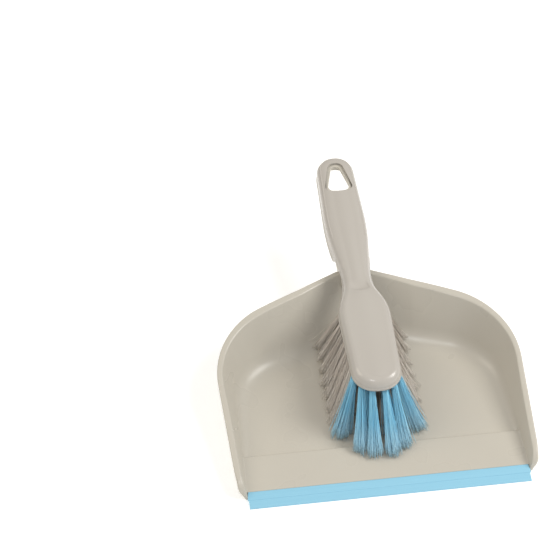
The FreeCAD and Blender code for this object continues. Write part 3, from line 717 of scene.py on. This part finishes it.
hangingHole = {
    "base": 278.0, "apex": 307.5,         # where it starts and ends
    "baseHalf": 12.7, "apexHalf": 5.6, "baseRound": 4.2, "apexRound": 5.6,
    "bulge": 2.6, "bulgeReach": 9.0,      # how far the base bows out, and over what length
    "panMargin": 2.6,                     # how much smaller it is in the pan's handle
    "flare": 1.1, "panFlare": 0.6, "cutDepth": 60.0,
}

brushPoints, brushFaces = buildBrush(brushSizes)
brush = newPiece("brushMoulding", brushPoints, brushFaces, "brush", ["brush_body"],
                 satinPolypropylene)
joinSolids(brush, holeTool(hangingHole, 0.0, topLine, hangingHole["flare"]), "DIFFERENCE")
finishMesh(brush.data, creaseAngle)
print("brush moulding:", len(brush.data.vertices), "points")

panHandleSizes = {
    "gap": 0.4, "sideGap": 1.4, "endSideGap": 1.3, "depth": 9.5, "wall": 2.0,
    "front": 196.0, "rootHalf": 10.5, "rootBack": 212.0,
    "rimBack": 210.0, "rimHeight": 41.2, "footBack": 3.5, "rise": 16.5,
    "rootTop": (1.2, 0.5),         # below the rim at the front, above it at the foot
    "rootUnder": (12.0, 9.0),      # below the rim at the front and at the rim's back
    "topRound": 4.0, "crown": 0.3, "underRound": 0.5, "columns": 20,
}


def panTop(y):
    return topLine(y) - brushSizes["wall"] - panHandleSizes["gap"]


def buildPanHandle(h):
    b = brushSizes
    lowered = b["wall"] + h["gap"]
    foot = h["rimBack"] - h["footBack"]
    head = h["rimBack"] + h["rise"]
    end = setLength - b["wall"] - h["gap"]
    frontDrop, footLift = h["rootTop"]
    frontDeep, rimDeep = h["rootUnder"]
    top = roundedProfile([
        (h["front"] - 1, h["rimHeight"] - frontDrop, 0), (foot, h["rimHeight"] + footLift, 5),
        (head, topLine(head) - lowered, 6), (end + 1, topLine(end + 1) - lowered, 0)])
    under = roundedProfile([
        (h["front"] - 1, h["rimHeight"] - frontDeep, 0),
        (h["rimBack"] + 1, h["rimHeight"] - rimDeep, 4),
        (head + 6, topLine(head) - lowered - h["depth"], 6),
        (end + 1, topLine(end + 1) - lowered - h["depth"], 0)])

    def ceiling(y):
        solid = under(y)
        hollow = np.minimum(top(y) - h["wall"] * 1.3, topLine(y) - lowered - h["wall"])
        opening = smoothStep(y, h["rimBack"] + 1, h["rimBack"] + 4)
        return solid + (np.maximum(hollow, solid) - solid) * opening

    widest = b["outline"][3][0] - b["wall"] - h["sideGap"]
    narrow = b["outline"][4][0] - b["wall"] - h["endSideGap"]
    corners = [(0, h["front"], 0), (h["rootHalf"], h["front"], 3), (h["rootHalf"], h["rootBack"], 30),
               (widest, b["outline"][3][1], 90), (narrow, end, narrow - 0.2), (0, end, 0)]
    middle = h["columns"] // 2
    splits = [steps(middle), steps(6), steps(8), steps(14), steps(10), steps(14), steps(40),
              steps(26), steps(middle, True)]
    outline, out = roundedPath(corners, splits)
    shape = {"top": top, "under": under, "ceiling": ceiling, "wall": h["wall"], "crown": h["crown"],
             "topRound": (lambda y: h["topRound"], h["topRound"]), "band": (0.0, 0.0),
             "underRound": h["underRound"], "dent": lambda x, y: 0.0}
    return moulding(outline, out, shape, h["columns"])


handlePoints, handleFaces = buildPanHandle(panHandleSizes)
handle = newPiece("panHandle", handlePoints, handleFaces, None, (), glossPolypropylene)
panHole = holeTool(hangingHole, hangingHole["panMargin"], panTop, hangingHole["panFlare"])
joinSolids(handle, panHole, "DIFFERENCE")
joinSolids(pan, handle, "UNION")
finishMesh(pan.data, creaseAngle)
print("pan with handle:", len(pan.data.vertices), "points")

# the lip strip
lipSizes = {
    "halfWidth": (lipHigh.x - lipLow.x) / 2 * perMetre,
    "depth": 14.35,
    "height": 3.5,
    "edgeThickness": 0.9,
    "step": (7.2, 1.9, 2.2),       # place, height in front of it and behind it
    "endStep": 0.8,
    "bandInset": 0.9,              # how far the band's back corners are cut in
    "softness": 0.35,
    "bandStart": 9.5,
    "ends": 6,
    "creaseAngle": 30,
}


def buildLip(s):
    stepPlace, before, behind = s["step"]
    section = [(0.0, 0.0), (0.0, s["edgeThickness"] * 0.55), (0.18, s["edgeThickness"] * 0.9),
               (0.5, s["edgeThickness"]), (stepPlace * 0.5, (s["edgeThickness"] + before) * 0.5),
               (stepPlace - 0.35, before - 0.02), (stepPlace - 0.1, before + 0.05),
               (stepPlace, before + 0.25), (stepPlace + 0.1, behind - 0.05),
               (stepPlace + 0.4, behind + 0.06), (10.8, behind + 0.62),
               (s["depth"] - 0.5, s["height"] - 0.04), (s["depth"] - 0.12, s["height"] - 0.12),
               (s["depth"], s["height"] - 0.4), (s["depth"], 0.0)]
    across = []
    for f in np.linspace(0, 1, s["ends"] + 1):
        across.append((f * s["softness"], math.sqrt(max(0.0, 1 - (1 - f) ** 2))))
    edges = [(-1, inward, f) for inward, f in across]
    edges += [(0, x, 1.0) for x in np.linspace(-s["halfWidth"] + 2, s["halfWidth"] - 2, 60)]
    edges += [(1, inward, f) for inward, f in reversed(across)]
    points, index, faces = [], [], []
    for side, value, full in edges:
        row = []
        for y, z in section:
            half = s["halfWidth"] - (s["endStep"] if y < stepPlace else 0.0)
            half -= s["bandInset"] * max(0.0, y - s["bandStart"]) / (s["depth"] - s["bandStart"])
            x = value if side == 0 else side * (half - value)
            drop = (1 - full) * 0.35
            lift = 0.06 * math.sin(x / 17.0) * (1 - y / s["depth"]) if z > 0.2 else 0.0
            row.append(len(points))
            points.append((x, y, max(0.0, z - drop + lift) if z > 0 else 0.0))
        index.append(row + [row[0]])
    addQuads(faces, index)
    faces.append(tuple(index[0][:-1]))
    faces.append(tuple(index[-1][:-1]))
    return points, faces


lipPoints, lipFaces = buildLip(lipSizes)
newPiece("lipStrip", lipPoints, lipFaces, "pan", ["lip_strip"], softRubber,
         lipSizes["creaseAngle"])
print("lip strip made")

# the tufts
tuftSizes = {
    "rows": 8, "blueRows": 1,      # rows behind the nose, and how many of them are blue
    "radius": 2.1, "inner": 5.0, "outer": 15.0, "pitch": 9.0, "outerShift": 5.3, "first": 84.5,
    "arcInner": (4.8, 74.8), "arcOuter": (12.1, 81.0),
    # how far the tips stand out, as multiples of x, and how far they lean along the head
    "noseFan": 1.45, "fan": 2.05, "noseLean": 37.0, "frontLean": 34.0, "rearLean": 6.0,
    "noseTipHalfWidth": 6.0, "tipHalfWidth": 7.6, "tipHalfDepth": 4.1, "tipGap": 0.5,
    "crestHeight": 5.4, "floorHeight": 2.2,
    "filaments": 190, "thickness": 0.22, "splitThickness": 0.12, "splits": 2, "splitFrom": 0.8,
    "crimp": 0.13, "crimpLength": 7.0, "uneven": 4.5, "stray": 0.06, "seed": 7,
    "tipSpread": (1.0, 1.35),      # across and along the head, times the bundle's half size
}


def headUnder(y):
    b = brushSizes
    rise = (b["neckUnder"][1] - b["noseUnder"]) / (b["neckUnder"][0] - b["front"])
    return b["noseUnder"] + (y - b["front"]) * rise


def bothSides(places):
    return [(side * x, y) for x, y in places for side in (-1, 1)]


def tuftPlaces(t):
    rows = [("nose", bothSides((t["arcInner"], t["arcOuter"])))]
    for row in range(t["rows"]):
        inner = t["first"] + row * t["pitch"]
        places = bothSides(((t["inner"], inner), (t["outer"], inner + t["outerShift"])))
        rows.append((f"row_{row + 1}", places))
    heel = t["first"] + t["rows"] * t["pitch"]
    rows.append(("heel", bothSides(((t["inner"], heel),))))
    return rows, heel


def tuftTip(t, x, y, heel, front):
    if front:
        return np.array((x * t["noseFan"], y - t["noseLean"], t["crestHeight"] + t["tipGap"]))
    span = heel - t["arcInner"][1]
    tipY = y - t["frontLean"] * (heel - y) / span
    tipY += t["rearLean"] * ((y - t["arcInner"][1]) / span) ** 3
    tipZ = t["floorHeight"] + t["tipGap"] + headUnder(y) - headUnder(t["first"])
    return np.array((x * t["fan"], tipY, tipZ))


def strandTubes(paths, radii, turns):
    # closed three-sided tubes round centre lines: paths is (strands, rings, 3)
    strands, rings, _ = paths.shape
    corners = turns[:, None] + np.arange(3)[None, :] * 2 * math.pi / 3
    offsets = np.stack((np.cos(corners), np.sin(corners), np.zeros_like(corners)), axis=-1)
    points = paths[:, :, None, :] + offsets[:, None, :, :] * radii[:, :, None, None]
    start = (np.arange(strands) * rings * 3)[:, None, None]
    ring = (np.arange(rings - 1) * 3)[None, :, None]
    side = np.arange(3)[None, None, :]
    after = (side + 1) % 3
    quads = np.stack([start + ring + side, start + ring + after,
                      start + ring + 3 + after, start + ring + 3 + side], axis=-1).reshape(-1, 4)
    near = np.arange(strands)[:, None] * rings * 3 + np.array((2, 1, 0))[None, :]
    far = np.arange(strands)[:, None] * rings * 3 + (rings - 1) * 3 + np.array((0, 1, 2))[None, :]
    return points.reshape(-1, 3), quads.tolist() + near.tolist() + far.tolist()


def growTuft(t, random, x, y, heel, front):
    # centre lines of one tuft's filaments and of the split ends that carry them on
    count = t["filaments"]
    spin = random.uniform(0, 2 * math.pi, count)
    out = np.sqrt((np.arange(count) + 0.5) / count)
    disc = np.column_stack((np.cos(spin) * out, np.sin(spin) * out))
    tip = tuftTip(t, x, y, heel, front)
    root = np.array((x, y, headUnder(y) + 0.6))
    starts = root + np.column_stack((disc * t["radius"] * 0.9, np.zeros(count)))
    clump = disc + random.normal(0, 0.12, (count, 2))
    stray = random.random(count) < t["stray"]
    clump[stray] *= random.uniform(1.15, 1.5, (stray.sum(), 1))
    halfWidth = t["noseTipHalfWidth"] if front else t["tipHalfWidth"]
    across, lengthways = t["tipSpread"]
    ends = tip + np.column_stack((clump[:, 0] * halfWidth * across,
                                  clump[:, 1] * t["tipHalfDepth"] * lengthways,
                                  random.uniform(0, 1, count) ** 1.5 * t["uneven"] + 0.15))
    ends += (ends - starts) * (random.uniform(-0.05, 0.03, (count, 1)))
    ends[:, 2] = np.maximum(ends[:, 2], tip[2] - t["tipGap"] + 0.3)
    knee = starts * 0.6 + ends * 0.4
    knee[:, :2] += (starts[:, :2] + (tip - root)[:2] * 0.4 - knee[:, :2]) * 0.35
    knee[:, 2] -= 1.2
    phase = random.uniform(0, 2 * math.pi, count)
    heading = random.uniform(0, 2 * math.pi, count)
    length = np.linalg.norm(ends - starts, axis=1)

    def at(f):
        f = np.asarray(f)[None, :, None]
        line = starts[:, None] * (1 - f) ** 2 + knee[:, None] * 2 * f * (1 - f) + ends[:, None] * f ** 2
        wave = np.sin(f[:, :, 0] * length[:, None] * 2 * math.pi / t["crimpLength"] + phase[:, None])
        wave = wave * t["crimp"] * np.minimum(1, f[:, :, 0] * 4)
        line[:, :, 0] += wave * np.cos(heading)[:, None]
        line[:, :, 1] += wave * np.sin(heading)[:, None]
        return line

    along = np.linspace(0, 1, 14)
    tone = random.uniform(0, 1, count)
    radii = t["thickness"] * np.interp(along, (0, t["splitFrom"], 1), (1, 1, 0.5))
    lines = [(at(along), np.tile(radii, (count, 1)), along, tone)]
    for _ in range(t["splits"]):
        f = np.linspace(t["splitFrom"], 1.0, 5)
        frayed = at(f)
        opening = np.linspace(0, 1, len(f))[None, :, None]
        frayed[:, :, :2] += random.normal(0, 0.7, (count, 1, 2)) * opening ** 1.4
        frayed[:, :, 2:] += random.uniform(0, 0.8, (count, 1, 1)) * opening
        radii = np.linspace(t["splitThickness"] * 1.2, t["splitThickness"] * 0.7, len(f))
        lines.append((frayed, np.tile(radii, (count, 1)), f, tone))
    return lines


def buildTufts(t):
    random = np.random.default_rng(t["seed"])
    rows, heel = tuftPlaces(t)
    for number, (row, places) in enumerate(rows):
        points, faces, alongs, tones = [], [], [], []
        for x, y in places:
            for paths, radii, along, tone in growTuft(t, random, x, y, heel, number == 0):
                turns = random.uniform(0, 2 * math.pi, len(paths))
                more, moreFaces = strandTubes(paths, radii, turns)
                base = sum(len(p) for p in points)
                faces += [[i + base for i in face] for face in moreFaces]
                points.append(more)
                alongs.append(np.tile(np.repeat(along, 3), len(paths)))
                tones.append(np.repeat(tone, len(along) * 3))
        blue = number <= t["blueRows"]
        node = ("blue" if blue else "cream") + "_tufts_" + row
        mesh = bpy.data.meshes.new(node)
        mesh.from_pydata(place(np.concatenate(points)).tolist(), [], faces)
        for name, values in (("along", alongs), ("tone", tones)):
            layer = mesh.attributes.new(name, "FLOAT", "POINT")
            layer.data.foreach_set("value", np.concatenate(values).astype(np.float32))
        mesh.polygons.foreach_set("use_smooth", [True] * len(mesh.polygons))
        mesh.materials.append(blueFilament if blue else creamFilament)
        piece = bpy.data.objects.new("filaments_" + row, mesh)
        bpy.context.scene.collection.objects.link(piece)
        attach(piece, "brush")
        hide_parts(node)


buildTufts(tuftSizes)
print("tufts grown")

# floor, light and camera
studio = {
    "floorColour": "#F6F6F5",
    "floorSize": 12.0,
    "floorGlow": 0.35,            # the sweep is lit from below a little, which softens the shadow
    "skyColour": "#FFFFFF",
    "skyStrength": 0.42,
    "floorFleckColour": "#F3F3F2", "floorFleckScale": 3.0, "floorRoughness": 0.9,
    "softBoxes": [                # name, place, aim, size, watts and colour
        ("keySoftBox", (1.35, -0.2, 1.5), (0, 0, 0.02), (0.8, 0.9), 22, "#FFFDF9"),
        ("fillSoftBox", (-0.3, -0.9, 1.7), (0, 0, 0.02), (0.35, 0.35), 6, "#FAFCFF"),
        ("sideSoftBox", (-1.3, 0.5, 1.5), (0, 0.05, 0.03), (1.0, 1.0), 10, "#FFF4E2"),
    ],
    "cameraPlace": (-0.20979, -1.10054, 1.16361),
    "cameraAim": (-0.05478, 0.08824, 0.0),
    "cameraLens": 125.24,
}


def buildFloor(s):
    material, tree, shader = newMaterial("palePaperSweep")
    place3d = addNode(tree, "ShaderNodeTexCoord").outputs["Object"]
    fibre = addNode(tree, "ShaderNodeTexNoise", {
        "Vector": place3d, "Scale": s["floorFleckScale"]})
    tint = addNode(tree, "ShaderNodeMix", {
        "Factor": fibre.outputs["Fac"], "A": linear(s["floorColour"]),
        "B": linear(s["floorFleckColour"])}, data_type="RGBA")
    tree.links.new(tint.outputs["Result"], shader.inputs["Base Color"])
    shader.inputs["Roughness"].default_value = s["floorRoughness"]
    shader.inputs["Emission Color"].default_value = linear(s["floorColour"])
    shader.inputs["Emission Strength"].default_value = s["floorGlow"]
    bpy.ops.mesh.primitive_plane_add(size=s["floorSize"], location=(0, 0, -0.0002))
    floor = bpy.context.object
    floor.name = "paleFloor"
    floor.data.materials.append(material)


def addSoftBox(name, position, aim, size, power, colour):
    light = bpy.data.lights.new(name, "AREA")
    light.shape = "RECTANGLE"
    light.size, light.size_y = size
    light.energy = power
    light.color = linear(colour)[:3]
    lamp = bpy.data.objects.new(name, light)
    lamp.location = position
    lamp.rotation_euler = (Vector(aim) - Vector(position)).to_track_quat("-Z", "Y").to_euler()
    bpy.context.scene.collection.objects.link(lamp)


def buildCamera(s):
    camera = bpy.data.objects.new("camera", bpy.data.cameras.new("camera"))
    camera.location = s["cameraPlace"]
    way = Vector(s["cameraAim"]) - Vector(s["cameraPlace"])
    camera.rotation_euler = way.to_track_quat("-Z", "Y").to_euler()
    camera.data.lens = s["cameraLens"]
    camera.data.sensor_width = 36.0
    camera.data.clip_end = 50.0
    bpy.context.scene.collection.objects.link(camera)
    bpy.context.scene.camera = camera


buildFloor(studio)
buildCamera(studio)
for softBox in studio["softBoxes"]:
    addSoftBox(*softBox)
world = bpy.data.worlds.new("studioLight")
world.use_nodes = True
world.node_tree.nodes["Background"].inputs["Color"].default_value = linear(studio["skyColour"])
world.node_tree.nodes["Background"].inputs["Strength"].default_value = studio["skyStrength"]
bpy.context.scene.world = world
bpy.context.scene.view_settings.view_transform = "Standard"
print("studio set")
